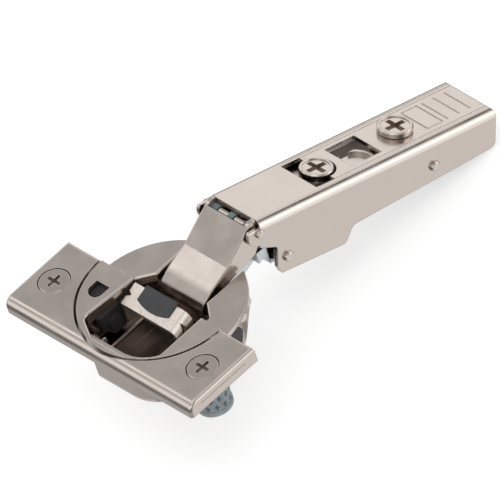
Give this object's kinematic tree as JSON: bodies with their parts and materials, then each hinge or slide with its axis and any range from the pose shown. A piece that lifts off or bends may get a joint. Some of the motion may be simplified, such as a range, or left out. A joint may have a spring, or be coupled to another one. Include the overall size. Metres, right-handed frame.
{
  "type": "concealed cup hinge",
  "caption": "Concealed cabinet door hinge with a round press-in cup, soft-close lever, four-bar links and an adjustable clip-on arm, shown open.",
  "frame": {"origin": "centre of the cup on the face of the door", "axes": "+Z out of the door, +Y towards the arm, +X along the wing plate"},
  "size_m": [0.0562, 0.1057, 0.0314],
  "materials": {
    "nickel_plated_steel": "nickel plated, satin",
    "arm_steel": "nickel plated, fine grain",
    "speckled_steel": "bright, fine speckle",
    "carrier_steel": "nickel plated",
    "pin_steel": "bright drawn",
    "screw_steel": "bright nickel",
    "spring_steel": "oiled wire",
    "zinc_casting": "as cast zinc, matt",
    "grey_plastic": "moulded",
    "black_plastic": "moulded",
    "pad_plastic": "moulded, satin"
  },
  "bodies": {
    "cup": {"hinge_cup": "nickel_plated_steel", "cover_plate": "nickel_plated_steel", "wing_plate": "nickel_plated_steel", "fixing_screw_left": "screw_steel", "fixing_screw_right": "screw_steel", "dowel_left": "grey_plastic", "dowel_right": "grey_plastic", "damper": "black_plastic", "damper_housing": "black_plastic", "damper_rivet": "pin_steel", "outer_cup_pin": "pin_steel", "inner_cup_pin": "pin_steel"},
    "switch": {"switch_slider": "black_plastic"},
    "lever": {"activation_lever": "speckled_steel", "lever_pad": "pad_plastic"},
    "outer_link": {"outer_link": "nickel_plated_steel"},
    "inner_link": {"inner_link": "zinc_casting"},
    "arm": {"arm_channel": "arm_steel", "outer_arm_pin": "pin_steel", "inner_arm_pin": "pin_steel", "rear_pin": "pin_steel", "pivot_spacers": "grey_plastic", "closing_spring": "spring_steel", "clip_spring": "spring_steel"},
    "carrier": {"inner_carrier": "carrier_steel"},
    "side_screw": {"side_screw": "screw_steel"},
    "depth_screw": {"depth_screw": "screw_steel"},
    "catch": {"clip_catch": "carrier_steel"}
  },
  "joints": [
    {"name": "fold", "type": "hinge", "parent": "cup", "child": "outer_link", "pos_m": [0, 0.00869, -0.00278], "axis": [1, 0, 0], "range_deg": [0, 131.18]},
    {"name": "arm_pivot", "type": "hinge", "parent": "outer_link", "child": "arm", "pos_m": [0, 0.02282, 0.00628], "axis": [1, 0, 0], "range_deg": [-21.2, 0]},
    {"name": "inner_link_pivot", "type": "hinge", "parent": "cup", "child": "inner_link", "pos_m": [0, 0.01186, -0.00212], "axis": [1, 0, 0], "range_deg": [0, 141.1]},
    {"name": "lever_push", "type": "slide", "parent": "cup", "child": "lever", "axis": [0, 0, 1], "range_m": [-0.00701, 0]},
    {"name": "switch_slide", "type": "slide", "parent": "cup", "child": "switch", "axis": [0, 1, 0], "range_m": [0, 0.0022]},
    {"name": "depth_turn", "type": "hinge", "parent": "arm", "child": "depth_screw", "pos_m": [0, 0.06665, -0.00723], "axis": [0, 0.342, 0.9397], "range_deg": [-60, 25]},
    {"name": "depth_slide", "type": "slide", "parent": "arm", "child": "carrier", "axis": [0, 0.9397, -0.342], "range_m": [-0.00094, 0.00039]},
    {"name": "side_turn", "type": "hinge", "parent": "carrier", "child": "side_screw", "pos_m": [0, 0.04569, 0.0004], "axis": [0, 0.342, 0.9397], "range_deg": [-180, 180]},
    {"name": "catch_swing", "type": "hinge", "parent": "arm", "child": "catch", "pos_m": [0, 0.06811, -0.01455], "axis": [1, 0, 0], "range_deg": [0, 10], "stiffness_Nm_per_rad": 0.02, "springref_deg": -17.19}
  ],
  "couplings": [
    {"joint": "arm_pivot", "follows": "fold", "ratio": -0.161},
    {"joint": "inner_link_pivot", "follows": "fold", "ratio": 1.075},
    {"joint": "lever_push", "follows": "fold", "m_per_rad": -0.0030574},
    {"joint": "depth_turn", "follows": "depth_slide", "rad_per_m": 1111.1}
  ]
}
